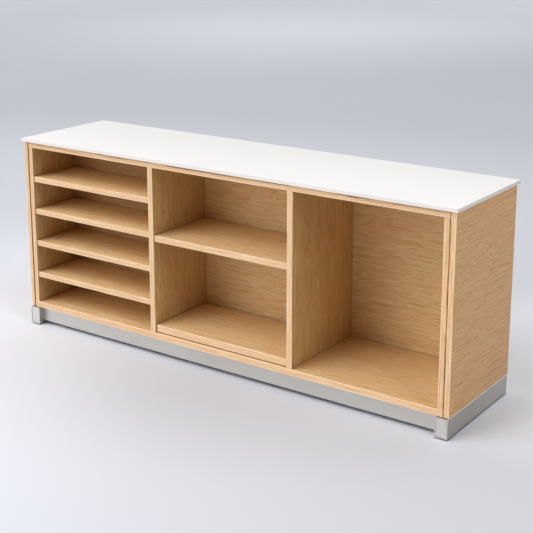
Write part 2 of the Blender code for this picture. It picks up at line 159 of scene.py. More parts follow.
class Graph:
    """The nodes of one material or of the world, and the one way that they are made."""

    def __init__(self, owner: bpy.types.Material | bpy.types.World) -> None:
        """Empty the node tree of its owner.

        Args:
            owner: the material or world that the nodes belong to.
        """
        self.owner = owner
        owner.use_nodes = True
        self.tree = owner.node_tree
        self.tree.nodes.clear()

    @classmethod
    def of_material(cls, name: str) -> "Graph":
        """Start an empty material of that name."""
        return cls(bpy.data.materials.new(name))

    def node(self, kind: str, settings: dict | None = None, inputs: dict | None = None,
             output: str | int = 0) -> Signal | None:
        """Add one node.

        Args:
            kind: the node's type name.
            settings: its properties, set first; "stops" gives a ramp's (position, colour) pairs.
            inputs: values or links by socket name or number.
            output: the output socket to return.

        Returns:
            The chosen output, or None for a node that has none.
        """
        made = self.tree.nodes.new(kind)
        for name, value in (settings or {}).items():
            if name == "stops":
                self._set_stops(made.color_ramp, value)
            else:
                setattr(made, name, value)
        for key, value in (inputs or {}).items():
            if isinstance(value, Signal):
                self.tree.links.new(value.socket, made.inputs[key])
            else:
                made.inputs[key].default_value = value
        return Signal(self, made.outputs[output]) if made.outputs else None

    @staticmethod
    def _set_stops(ramp: bpy.types.ColorRamp, stops: Sequence[Stop]) -> None:
        """Give a colour ramp its stops.

        Args:
            ramp: the ramp, new from its node.
            stops: positions and colours, lowest first.
        """
        while len(ramp.elements) < len(stops):
            ramp.elements.new(1.0)
        for element, (position, colour) in zip(ramp.elements, stops):
            element.position = position
            element.color = (*colour, 1.0)

    def place(self) -> Signal:
        """The point on the piece, in metres."""
        return self.node("ShaderNodeTexCoord", output="Object")

    def arris(self) -> Signal:
        """The piece's own value for its arrises."""
        return self.node("ShaderNodeAttribute", {"attribute_name": ARRIS}, output="Fac")

    def vector(self, operation: str, *operands: "Signal | Sequence[float]") -> Signal:
        """Add the Vector Math node of one operation that gives a vector."""
        return self.node("ShaderNodeVectorMath", {"operation": operation}, dict(enumerate(operands)))

    def along(self, vector: Signal, run: Run) -> Signal:
        """One component of a vector."""
        return self.node("ShaderNodeSeparateXYZ", inputs={0: vector}, output=run.name)

    def stretched(self, place: Signal, run: Run, along: float, across: float) -> Signal:
        """Divide a point by a feature's length along the run and its width across it.

        Args:
            place: the point.
            run: the axis that the feature is drawn out along.
            along: length of one feature in metres.
            across: width of one feature in metres.

        Returns:
            The point in units of the feature.
        """
        scale = [1.0 / across] * 3
        scale[run.value] = 1.0 / along
        return self.node("ShaderNodeMapping", inputs={"Vector": place, "Scale": scale})

    def noise(self, place: Signal, run: Run, size: Size, detail: float = 2.0,
              output: str = "Fac") -> Signal:
        """Noise whose features have a length and a width.

        Args:
            place: the point.
            run: the axis that the features are drawn out along.
            size: their length and width in metres.
            detail: octaves of finer noise on top.
            output: "Fac" for a value about the noise's middle, "Color" for three of them.

        Returns:
            The noise.
        """
        inputs = {"Vector": self.stretched(place, run, *size), "Scale": 1.0, "Detail": detail}
        return self.node("ShaderNodeTexNoise", inputs=inputs, output=output)

    def distance(self, place: Signal, point: Point) -> Signal:
        """Distance from a point to a fixed one."""
        return self.node("ShaderNodeVectorMath", {"operation": "DISTANCE"}, {0: place, 1: point}, "Value")

    def ramp(self, factor: Signal, stops: Sequence[Stop]) -> Signal:
        """Colour by a value, through stops."""
        return self.node("ShaderNodeValToRGB", {"stops": stops}, {"Fac": factor})

    def tint(self, colour: Signal, by: Signal) -> Signal:
        """Product of two colours."""
        return self.node("ShaderNodeMix", {"data_type": "RGBA", "blend_type": "MULTIPLY"},
                         {"Factor": 1.0, "A": colour, "B": by}, output="Result")

    def insets(self, place: Signal, box: Box) -> tuple[Signal, Signal, Signal]:
        """How far a point is inside the faces of a box, along each axis.

        Args:
            place: the point.
            box: the box's low and high corners.

        Returns:
            Distances along x, y and z, negative outside.
        """
        low, high = (np.array(corner) for corner in box)
        reach = self.vector("ABSOLUTE", self.vector("SUBTRACT", place, (low + high) / 2))
        inset = self.vector("SUBTRACT", (high - low) / 2, reach)
        x, y, z = (self.along(inset, run) for run in Run)
        return x, y, z

    @staticmethod
    def within(*insets: Signal) -> Signal:
        """1 where no inset is below 0, with a little grace for a point on a wall."""
        return reduce(Signal.least, insets).step(*WALL_GRACE)

    @staticmethod
    def arris_distance(x: Signal, y: Signal, z: Signal) -> Signal:
        """Distance from a point on a box's face to its nearest arris: the middle one of three insets."""
        return x.least(y).most(x.most(y).least(z))

    def rim(self, place: Signal, box: Box, width: float) -> Signal:
        """How near a point is to an arris of a box: 1 on it, 0 a width away.

        Args:
            place: the point.
            box: the box's low and high corners.
            width: reach of the arris in metres.

        Returns:
            The nearness.
        """
        return 1.0 - self.arris_distance(*self.insets(place, box)).step(0.0, width)

    def corner_distance(self, place: Signal, hollows: Iterable[Box]) -> Signal:
        """Distance from a point on the walls of hollows to their nearest inner corner.

        A point outside a hollow counts as a metre further from its corners.

        Args:
            place: the point.
            hollows: low and high corners of each hollow.

        Returns:
            The distance in metres.
        """
        spans = []
        for hollow in hollows:
            insets = self.insets(place, hollow)
            spans.append(self.arris_distance(*insets) + (1.0 - self.within(*insets)))
        return reduce(Signal.least, spans)

    def shown(self) -> Signal:
        """Where a surface is seen, straight or in gloss or glass, and doesn't only give light.

        Returns:
            1 where it is seen, 0 elsewhere.
        """
        camera, glossy, clear = (self.node("ShaderNodeLightPath", output=f"Is {ray} Ray")
                                 for ray in ("Camera", "Glossy", "Transmission"))
        return camera.most(glossy).most(clear)

    def bump(self, height: Signal, strength: float, depth: float) -> Signal:
        """Surface normal of a height.

        Args:
            height: the height, from 0 to 1.
            strength: share of the bump that shows.
            depth: height of 1 in metres.

        Returns:
            The bumped normal.
        """
        inputs = {"Height": height, "Strength": strength, "Distance": depth}
        return self.node("ShaderNodeBump", inputs=inputs)

    def surface(self, **sockets: "Signal | float | Sequence[float]") -> bpy.types.Material:
        """Close the graph with a Principled shader.

        Args:
            **sockets: values or links by socket name, with _ for a space.

        Returns:
            The material.
        """
        inputs = {name.replace("_", " "): value for name, value in sockets.items()}
        shader = self.node("ShaderNodeBsdfPrincipled", inputs=inputs)
        self.node("ShaderNodeOutputMaterial", inputs={"Surface": shader})
        return self.owner


@dataclass(frozen=True)
class Bay:
    """A bay of the case, between two uprights and in front of its back, split by its shelves.

    The mouth is the y that its hollows reach out to, well past the front edges, so
    that only inner corners count.
    """

    left: str
    right: str
    back: str
    shelves: tuple[str, ...] = ()
    floor: str = "case_bottom"
    ceiling: str = "case_top"
    mouth: float = -1.0

    def hollows(self) -> list[Box]:
        """The bay's open spaces, from the lowest up.

        Returns:
            Low and high corners of each space.
        """
        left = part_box(self.left)[1][0]
        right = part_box(self.right)[0][0]
        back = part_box(self.back)[0][1]
        levels = [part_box(board) for board in (self.floor, *self.shelves, self.ceiling)]
        return [((left, self.mouth, below[1][2]), (right, back, above[0][2]))
                for below, above in zip(levels, levels[1:])]

    def space(self) -> Box:
        """The whole bay, from the low corner of its first hollow to the high corner of its last."""
        hollows = self.hollows()
        return hollows[0][0], hollows[-1][1]


SORTER_SHELVES = ("sorter_shelf_1", "sorter_shelf_2", "sorter_shelf_3", "sorter_shelf_4")
SORTER_BAY = Bay("left_carcass_side", "left_partition", "left_bay_back", SORTER_SHELVES)
MIDDLE_BAY = Bay("left_partition", "right_partition", "middle_bay_back", ("middle_shelf",),
                 floor="pull_out_shelf")
RIGHT_BAY = Bay("right_partition", "right_carcass_side", "right_bay_back")


@dataclass(frozen=True)
class Oak:
    """Oak under a satin lacquer: bands of tone, streaks and short open pores, drawn out along the grain.

    A feature's size is its length and width in metres, and its span is the part of
    its noise that it rises over. The shares weigh band, streaks and fine lines into
    one light, which runs from 0 to 1 through the tones at their stops. A lipping's
    arrises add wear with a painted highlight to that light, and take painted shade
    from it where their value is below 0. Inside the case, painted shade darkens the
    corners of the bays, and painted light makes the sorter's boards paler at the
    front, away from the left wall.
    """

    name: str
    tones: tuple[Colour, Colour, Colour, Colour]
    stops: tuple[float, float, float, float] = (0.16, 0.345, 0.60, 0.81)
    shares: tuple[float, float, float] = (0.06, 0.51, 0.43)
    band: Size = (0.55, 0.017)
    band_span: Span = (0.25, 0.75)
    streak: Size = (0.240, 0.0012)
    fine: Size = (0.065, 0.0008)
    line_span: Span = (0.30, 0.70)
    pore: Size = (0.020, 0.0006)
    pore_span: Span = (0.58, 0.70)
    pore_gain: float = 0.30
    sway: Size = (0.30, 0.10)
    sway_reach: float = 0.012
    cloud: Size = (0.22, 0.07)
    cloud_tints: tuple[Stop, ...] = ((0.30, (1.012, 0.992, 0.972)), (0.70, (0.99, 1.005, 1.02)))
    arris_gain: float = 0.0
    # stops for a lipping's arrises: the dark ones hold painted shade and the darkest grain, the pale one
    # wear with a painted highlight
    darkest_grain_and_shade: Stop = (0.0, (0.26, 0.13, 0.055))
    dark_grain_and_shade: Stop = (0.02, (0.60, 0.355, 0.18))
    lit_and_worn: Stop = (1.0, (1.0, 0.84, 0.62))
    # painted shade in the bays' inner corners: its reach, and the tints by distance from the corners
    corner_reach: float = 0.0
    painted_corner_shade: tuple[Stop, ...] = (
        (0.0, (0.80, 0.77, 0.74)), (0.07, (0.94, 0.93, 0.92)), (0.35, (0.97, 0.965, 0.96)), (1.0, UNTINTED))
    # painted light on the fronts of the sorter's boards, away from the left wall
    painted_front_light: Colour | None = None
    front_light_end: Span = (-0.13, -0.04)
    front_light_side: float = 0.18
    gloss: float = 0.50
    streak_gloss: float = -0.07
    pore_gloss: float = 0.16
    relief: float = 0.12
    relief_depth: float = 0.0002
    specular: float = 0.4

    def material(self, run: Run) -> bpy.types.Material:
        """Make the finish with its grain along one axis.

        Args:
            run: the grain's axis.

        Returns:
            The material.
        """
        graph = Graph.of_material(f"{self.name}_{run.name.lower()}")
        place = graph.place()
        drift = graph.noise(place, run, self.sway, detail=1.0, output="Color")
        swayed = graph.vector("MULTIPLY_ADD", drift, (self.sway_reach,) * 3, place)
        band = graph.noise(swayed, run, self.band).step(*self.band_span)
        streak = graph.noise(swayed, run, self.streak).step(*self.line_span)
        fine = graph.noise(swayed, run, self.fine).step(*self.line_span)
        pores = graph.noise(swayed, run, self.pore, detail=1.0).step(*self.pore_span)
        lines = self.shares[0] * band + self.shares[1] * streak + self.shares[2] * fine
        colour = self.coloured(graph, lines - self.pore_gain * pores)
        cloud = graph.noise(swayed, run, self.cloud)
        colour = graph.tint(colour, graph.ramp(cloud, self.cloud_tints))
        colour = self.with_painted_light_and_shade(graph, place, colour)
        gloss = self.gloss + self.streak_gloss * streak + self.pore_gloss * pores
        relief = graph.bump(fine - pores, self.relief, self.relief_depth)
        return graph.surface(Base_Color=colour, Roughness=gloss, Normal=relief,
                             Specular_IOR_Level=self.specular)

    def coloured(self, graph: Graph, light: Signal) -> Signal:
        """Colour the grain, with wear, a painted highlight and painted shade on the arrises of a lipping.

        Args:
            graph: the material's nodes.
            light: how light the grain is, from 0 to 1.

        Returns:
            The colour.
        """
        stops = list(zip(self.stops, self.tones))
        if self.arris_gain:
            # arrises: wear with a painted highlight lightens them, painted shade below 0 darkens them
            light = light + self.arris_gain * graph.arris()
            stops = [self.darkest_grain_and_shade, self.dark_grain_and_shade, *stops, self.lit_and_worn]
        return graph.ramp(light, stops)

    def with_painted_light_and_shade(self, graph: Graph, place: Signal, colour: Signal) -> Signal:
        """Paint shade into the corners of the bays, and paint light onto the fronts of the sorter's boards.

        Args:
            graph: the material's nodes.
            place: the point.
            colour: the colour before.

        Returns:
            The colour after.
        """
        # painted shade: darker towards the bays' inner corners
        if self.corner_reach:
            hollows = [hollow for bay in (SORTER_BAY, MIDDLE_BAY, RIGHT_BAY) for hollow in bay.hollows()]
            away = graph.corner_distance(place, hollows) * (1.0 / self.corner_reach)
            colour = graph.tint(colour, graph.ramp(away, self.painted_corner_shade))
        # painted light: the sorter's boards are paler at the front, away from the left wall
        if self.painted_front_light:
            sorter = SORTER_BAY.space()
            wall = sorter[0][Run.X.value]
            x, _, z = graph.insets(place, sorter)
            front = 1.0 - graph.along(place, Run.Y).step(*self.front_light_end)
            clear = graph.along(place, Run.X).step(wall, wall + self.front_light_side)
            painted_light_mask = graph.within(x, z) * front * clear
            colour = graph.tint(colour, graph.ramp(painted_light_mask, [(0.0, UNTINTED), (1.0, self.painted_front_light)]))
        return colour


@dataclass(frozen=True)
class SolidSurface:
    """The slab's white solid surface: satin, with a faint cloud of tone and a fine speckle.

    It is painted a little whiter at the front and greyer at the rear, as painted light and shade; the sawn
    edge is rougher, and painted a little grey as shade.
    """

    name: str = "white_slab_satin"
    node: str = "top_slab"
    cloud: Size = (0.5, 0.3)
    speckle: Size = (0.0016, 0.0016)
    shares: tuple[float, float] = (0.6, 0.4)
    tones: tuple[Stop, ...] = ((0.15, (0.875, 0.85, 0.84)), (0.60, (0.915, 0.895, 0.885)))
    # painted light at the front and painted shade at the rear
    front: Colour = (1.040, 1.052, 1.050)
    rear: Colour = (0.948, 0.957, 0.956)
    # painted shade on the sawn edge
    edge: Colour = (0.915, 0.908, 0.903)
    gloss: float = 0.42
    speckle_gloss: float = 0.10
    sawn_gloss: float = 0.10
    relief: float = 0.06
    relief_depth: float = 0.0001
    specular: float = 0.3

    def material(self) -> bpy.types.Material:
        """Make the finish.

        Returns:
            The material.
        """
        graph = Graph.of_material(self.name)
        place = graph.place()
        cloud = graph.noise(place, Run.X, self.cloud)
        speckle = graph.noise(place, Run.X, self.speckle, detail=1.0)
        colour = graph.ramp(self.shares[0] * cloud + self.shares[1] * speckle, self.tones)
        low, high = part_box(self.node)
        # painted light towards the front, painted shade towards the rear
        depth = graph.along(place, Run.Y).step(low[Run.Y.value], high[Run.Y.value])
        colour = graph.tint(colour, graph.ramp(depth, [(0.0, self.front), (1.0, self.rear)]))
        # the sawn edge: rougher, and painted a little grey as shade
        sawn = graph.arris()
        colour = graph.tint(colour, graph.ramp(sawn, [(0.0, UNTINTED), (1.0, self.edge)]))
        gloss = self.gloss + self.speckle_gloss * speckle + self.sawn_gloss * sawn
        relief = graph.bump(speckle, self.relief, self.relief_depth)
        return graph.surface(Base_Color=colour, Roughness=gloss, Normal=relief,
                             Specular_IOR_Level=self.specular)


@dataclass(frozen=True)
class BrushedMetal:
    """Satin silver metal: fine brushing along the piece, a faint drift of tone, and polished arrises with a
    painted highlight.
    """

    name: str
    dull: Colour = (0.509, 0.493, 0.469)
    bright: Colour = (0.635, 0.614, 0.585)
    # painted highlight on the polished arrises
    polished_highlight: Colour = (0.84, 0.82, 0.80)
    stops: tuple[float, float, float] = (0.25, 0.75, 1.0)
    brush: Size = (0.10, 0.0007)
    drift: Size = (0.30, 0.05)
    shares: tuple[float, float] = (0.6, 0.4)
    roughness: float = 0.40
    brush_gloss: float = 0.16
    metallic: float = 0.90
    rim_width: float = 0.0030
    rim_highlight_gain: float = 0.7
    rim_gloss: float = -0.14
    relief: float = 0.08
    relief_depth: float = 0.0001

    def material(self, run: Run, box: Box | None = None) -> bpy.types.Material:
        """Make the finish with its brushing along one axis.

        Args:
            run: the brushing's axis.
            box: corners of a piece whose arrises are polished smoother and get a painted highlight.

        Returns:
            The material.
        """
        graph = Graph.of_material(f"{self.name}_{run.name.lower()}")
        place = graph.place()
        brush = graph.noise(place, run, self.brush)
        drift = graph.noise(place, run, self.drift)
        light = self.shares[0] * brush + self.shares[1] * drift
        gloss = self.roughness + self.brush_gloss * (brush - NOISE_MIDDLE)
        # polished arrises: lower roughness and a painted highlight
        if box:
            rim = graph.rim(place, box, self.rim_width)
            light = light + self.rim_highlight_gain * rim
            gloss = gloss + self.rim_gloss * rim
        tones = (self.dull, self.bright, self.polished_highlight)
        colour = graph.ramp(light, list(zip(self.stops, tones)))
        relief = graph.bump(brush, self.relief, self.relief_depth)
        return graph.surface(Base_Color=colour, Roughness=gloss, Metallic=self.metallic, Normal=relief)


@dataclass(frozen=True)
class Rubber:
    """Matt black rubber with a fine moulded texture and dust-grey high spots."""

    name: str = "black_rubber"
    grit: Size = (0.0015, 0.0015)
    tones: tuple[Stop, ...] = ((0.3, (0.012, 0.012, 0.012)), (0.75, (0.035, 0.034, 0.033)))
    gloss: float = 0.70
    grit_gloss: float = 0.2
    relief: float = 0.2
    relief_depth: float = 0.0002

    def material(self) -> bpy.types.Material:
        """Make the finish.

        Returns:
            The material.
        """
        graph = Graph.of_material(self.name)
        grit = graph.noise(graph.place(), Run.X, self.grit)
        gloss = self.gloss + self.grit_gloss * grit
        relief = graph.bump(grit, self.relief, self.relief_depth)
        return graph.surface(Base_Color=graph.ramp(grit, self.tones), Roughness=gloss, Normal=relief)


@dataclass(frozen=True)
class FloorPaint:
    """Pale floor with painted light and shade: a painted pool of key light, deeper with distance, and soft
    painted patches.

    Only what is seen has those tones; the light that the floor throws back is even.
    The fade gives shares of the tone over the distance from the painted pool, up to the
    headroom. Each patch has a middle, a radius and the gain at its middle: painted light
    where the gain is above 0, painted shade where it is below. Under the rails the floor
    is painted in deep shade.
    """

    name: str = "pale_floor"
    tone: Colour = (0.695, 0.726, 0.783)
    bounce: Colour = (0.67, 0.64, 0.60)
    # painted light: the pool of key light, and its fade with distance
    pool: Point = (-1.0, -1.7, 0.0)
    headroom: float = 2.0
    fade: tuple[tuple[float, float], ...] = (
        (0.0, 1.25), (1.0, 1.24), (1.5, 1.11), (2.5, 0.95),
        (4.5, 0.84), (6.0, 0.70), (11.0, 0.69), (16.0, 0.76))
    mottle: Size = (0.5, 0.5)
    mottle_gain: float = 0.02
    # painted light and shade in soft patches
    painted_patches: tuple[tuple[Point, float, float], ...] = (
        ((-6.0, 9.0, 0.0), 4.5, 0.18),
        ((-0.5, 8.0, 0.0), 5.0, -0.09),
        ((1.05, 0.30, 0.0), 0.65, 0.50),
        ((0.80, 0.90, 0.0), 0.60, 0.18),
        ((-1.4, 0.2, 0.0), 1.2, 0.17),
        ((0.0, -0.35, 0.0), 0.8, -0.15))
    rails: tuple[str, ...] = ("left_base_rail", "right_base_rail")
    # painted shade under the rails
    painted_rail_shade: float = 0.55
    rail_span: Span = (-0.006, 0.003)
    roughness: float = 0.6
    specular: float = 0.3

    def material(self) -> bpy.types.Material:
        """Make the finish.

        Returns:
            The material.
        """
        graph = Graph.of_material(self.name)
        place = graph.place()
        outer = self.fade[-1][0]
        greys = [(radius / outer, (share / self.headroom,) * 3) for radius, share in self.fade]
        # painted light: bright in the pool, deeper with distance
        level = self.headroom * graph.ramp(graph.distance(place, self.pool) * (1.0 / outer), greys)
        level = level + self.mottle_gain * (graph.noise(place, Run.X, self.mottle) - NOISE_MIDDLE)
        # painted light and shade in patches
        for middle, radius, gain in self.painted_patches:
            level = level + gain * (1.0 - graph.distance(place, middle).step(0.0, radius))
        # painted shade under the rails
        for rail in self.rails:
            x, y, _ = graph.insets(place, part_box(rail))
            level = level * (1.0 - self.painted_rail_shade * x.least(y).step(*self.rail_span))
        seen = graph.node("ShaderNodeVectorMath", {"operation": "SCALE"}, {0: self.tone, "Scale": level})
        mixed = {"Factor": graph.shown(), "A": (*self.bounce, 1.0), "B": seen}
        colour = graph.node("ShaderNodeMix", {"data_type": "RGBA"}, mixed, output="Result")
        return graph.surface(Base_Color=colour, Roughness=self.roughness, Specular_IOR_Level=self.specular)


class Finishes:
    """Every finish of the credenza, and the materials that its pieces share."""

    # The oak's copies differ in tone as painted light and shade: the level boards and backs get the
    # lightest; the uprights, end panels and sorter's back get darker copies as painted shade.
    LEVEL: ClassVar[Oak] = Oak(
        "oak_level",
        tones=((0.594, 0.316, 0.123), (0.745, 0.479, 0.231), (0.842, 0.600, 0.318), (0.896, 0.675, 0.383)),
        corner_reach=0.10, painted_front_light=(1.11, 1.14, 1.17))
    # painted shade: a darker copy of the oak for the partitions and carcass sides
    UPRIGHT_SHADED: ClassVar[Oak] = Oak(
        "oak_upright_shaded",
        tones=((0.400, 0.189, 0.058), (0.550, 0.336, 0.141), (0.644, 0.452, 0.220), (0.700, 0.517, 0.272)),
        corner_reach=0.10)
    # painted shade: a darker copy of the oak for the end panels
    END_SHADED: ClassVar[Oak] = Oak(
        "oak_end_shaded",
        tones=((0.550, 0.255, 0.091), (0.690, 0.387, 0.170), (0.780, 0.485, 0.234), (0.830, 0.545, 0.283)))
    # painted shade: the darkest copy of the oak, for the sorter's back
    SHADED: ClassVar[Oak] = Oak(
        "oak_shaded",
        tones=((0.396, 0.183, 0.055), (0.500, 0.280, 0.104), (0.565, 0.352, 0.145), (0.600, 0.395, 0.175)),
        corner_reach=0.10)
    LIPPING: ClassVar[Oak] = Oak(
        "oak_lipping",
        tones=((0.760, 0.470, 0.256), (0.855, 0.550, 0.313), (0.918, 0.620, 0.368), (0.945, 0.690, 0.437)),
        streak=(0.20, 0.0022), fine=(0.10, 0.0009), pore_gain=0.15, arris_gain=0.60)
    CHANNEL: ClassVar[BrushedMetal] = BrushedMetal("channel_metal")
    # painted shade: a darker copy of the plinth metal for the rails
    RAIL_SHADED: ClassVar[BrushedMetal] = BrushedMetal(
        "rail_metal_shaded", dull=(0.410, 0.396, 0.370), bright=(0.512, 0.493, 0.463))
    # painted light: a lighter copy of the plinth metal for the rails' caps
    CAP_LIT: ClassVar[BrushedMetal] = BrushedMetal(
        "cap_metal_lit", dull=(0.592, 0.572, 0.553), bright=(0.724, 0.698, 0.676))
    STEEL: ClassVar[BrushedMetal] = BrushedMetal(
        "plated_steel", dull=(0.55, 0.55, 0.56), bright=(0.68, 0.68, 0.69), brush=(0.01, 0.0006),
        roughness=0.26, metallic=1.0)

    def __init__(self) -> None:
        """Make the materials."""
        self.level = self.LEVEL.material(Run.X)
        self.upright = self.UPRIGHT_SHADED.material(Run.Z)
        self.end = self.END_SHADED.material(Run.Y)
        self.shaded = self.SHADED.material(Run.X)
        self.lipping = {run: self.LIPPING.material(run) for run in (Run.X, Run.Z)}
        self.channel = self.CHANNEL.material(Run.X)
        self.cap = self.CAP_LIT.material(Run.Z)
        self.steel = self.STEEL.material(Run.X)
        self.slab = SolidSurface().material()
        self.rubber = Rubber().material()


def dress(nodes: Iterable[str], material: bpy.types.Material) -> None:
    """Give carried-over solids their finish.

    Args:
        nodes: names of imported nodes.
        material: the finish that they share.
    """
    for name in nodes:
        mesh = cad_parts[name].data
        mesh.materials.clear()
        mesh.materials.append(material)
        LOG.info("dressed %s in %s", name, material.name)


@dataclass
class Surface:
    """Points and faces of a new piece, with a value on each point for its arrises."""

    points: np.ndarray
    faces: list[list[int]]
    arris: np.ndarray | None = None

    @staticmethod
    def grid_faces(rows: int, columns: int, close_rows: bool, close_columns: bool) -> np.ndarray:
        """Quads between the neighbours of a grid of points, numbered row by row.

        Args:
            rows: number of rows of points.
            columns: number of points in a row.
            close_rows: whether the last row joins the first.
            close_columns: whether the last column joins the first.

        Returns:
            An array of four point numbers a face.
        """
        row, column = np.meshgrid(np.arange(rows if close_rows else rows - 1),
                                  np.arange(columns if close_columns else columns - 1), indexing="ij")
        next_row = (row + 1) % rows
        next_column = (column + 1) % columns
        corners = [row * columns + column, row * columns + next_column,
                   next_row * columns + next_column, next_row * columns + column]
        return np.stack(corners, axis=-1).reshape(-1, 4)

    def piece(self, name: str, material: bpy.types.Material, body: Body) -> bpy.types.Object:
        """Make the piece as an object at the origin that rides on a body.

        Args:
            name: the piece's name.
            material: its finish.
            body: the body that carries it.

        Returns:
            The object.
        """
        mesh = bpy.data.meshes.new(name)
        mesh.from_pydata(self.points.tolist(), [], self.faces)
        if self.arris is not None:
            mesh.attributes.new(ARRIS, "FLOAT", "POINT").data.foreach_set("value", self.arris)
        mesh.materials.append(material)
        mesh.shade_smooth()
        mesh.set_sharp_from_angle(angle=SMOOTH_ANGLE)
        made = bpy.data.objects.new(name, mesh)
        bpy.context.scene.collection.objects.link(made)
        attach(made, body.value)
        LOG.info("built %s: %d faces, on %s", name, len(self.faces), body.value)
        return made


def arc(centre: tuple[float, float], radius: float, start: float, end: float, steps: int) -> np.ndarray:
    """Points of an arc: centre plus radius times the cosine and sine of evenly spaced angles.

    Args:
        centre: the arc's centre.
        radius: its radius.
        start: first angle in degrees.
        end: last angle in degrees.
        steps: number of chords.

    Returns:
        An array of steps + 1 points.
    """
    angles = np.radians(np.linspace(start, end, steps + 1))
    return np.stack([centre[0] + radius * np.cos(angles), centre[1] + radius * np.sin(angles)], axis=1)


@dataclass
class Lipping:
    """A solid oak strip on one edge of a veneered board, with rounded arrises.

    Its section is a C that sits on the board's eased edge, and it is carried
    straight along the edge. Radii, wear-and-light values and bands are of the lower
    or left arris and of the upper or right one. A value above 0 is wear with a
    painted highlight that makes the arris pale, and a value below 0 is painted shade
    that makes it dark; each fades out over its band. The tone goes over the whole strip.
    """

    board: str
    run: Run
    facing: int = -1
    body: Body = Body.CASE
    thickness: float = 0.0014
    ease: float = 0.0008
    radii: tuple[float, float] = (0.0010, 0.0010)
    arris_wear_and_light: tuple[float, float] = (1.0, 1.0)
    tone: float = 0.0
    bands: tuple[float, float] = (0.0030, 0.0030)
    end_ease: float = 0.0014
    arc_steps: int = 5

    def section(self, width: float) -> tuple[np.ndarray, np.ndarray]:
        """The closed section: forward distance from the edge, and height across the board.

        The front runs from the lower face round an arc, up the flat and round a
        second arc to the upper face; the back follows the board's eased edge.

        Args:
            width: the board's thickness.

        Returns:
            The section's points, and the wear-and-light value and tone of each: above 0 wear with a painted
            highlight, below 0 painted shade.
        """
        half = width / 2
        below, above = self.radii
        lower = arc((self.thickness - below, below - half), below, -90.0, 0.0, self.arc_steps)
        upper = arc((self.thickness - above, half - above), above, 0.0, 90.0, self.arc_steps)
        flat = np.array([[self.thickness, self.bands[0] - half], [self.thickness, half - self.bands[1]]])
        back = np.array([[-self.ease, half], [0.0, half - self.ease],
                         [0.0, self.ease - half], [-self.ease, -half]])
        rise = np.sin(np.linspace(0.0, np.pi / 2, self.arc_steps + 1))
        points = np.vstack([lower, flat, upper, back])
        # arris values: wear with a painted highlight where above 0, painted shade where below 0
        lit_and_worn = [self.arris_wear_and_light[0] * rise, np.zeros(len(flat)), self.arris_wear_and_light[1] * rise[::-1], np.zeros(len(back))]
        return points, self.tone + np.concatenate(lit_and_worn)

    def build(self, finishes: Finishes) -> bpy.types.Object:
        """Carry the section along the board's edge: point = edge + forward and height of the section.

        The strip's ends are eased, so that a fine groove shows where two strips butt.

        Args:
            finishes: the shared finishes.

        Returns:
            The strip.
        """
        low, high = (np.array(corner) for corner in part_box(self.board))
        across = Run.X if self.run is Run.Z else Run.Z
        edge = low[Run.Y.value] if self.facing < 0 else high[Run.Y.value]
        section, lit_and_worn = self.section(high[across.value] - low[across.value])
        count = len(section)
        start, end = low[self.run.value], high[self.run.value]
        stations = np.array([start, start + self.end_ease, end - self.end_ease, end])
        limit = self.thickness - self.end_ease * np.array([1.0, 0.0, 0.0, 1.0])
        rows = len(stations)
        points = np.empty((rows, count, 3))
        points[..., Run.Y.value] = edge + self.facing * np.minimum(section[:, 0], limit[:, None])
        points[..., across.value] = (low[across.value] + high[across.value]) / 2 + section[:, 1]
        points[..., self.run.value] = stations[:, None]
        faces = Surface.grid_faces(rows, count, close_rows=False, close_columns=True)
        turned = (self.facing < 0) == (across is Run.Z)
        last = rows * count
        caps = [list(range(count)), list(range(last - 1, last - count - 1, -1))]
        faces = [face if turned else face[::-1] for face in [*faces.tolist(), *caps]]
        surface = Surface(points.reshape(-1, 3), faces, np.tile(lit_and_worn, rows))
        name = f"{self.board}_{'front' if self.facing < 0 else 'rear'}_lipping"
        return surface.piece(name, finishes.lipping[self.run], self.body)


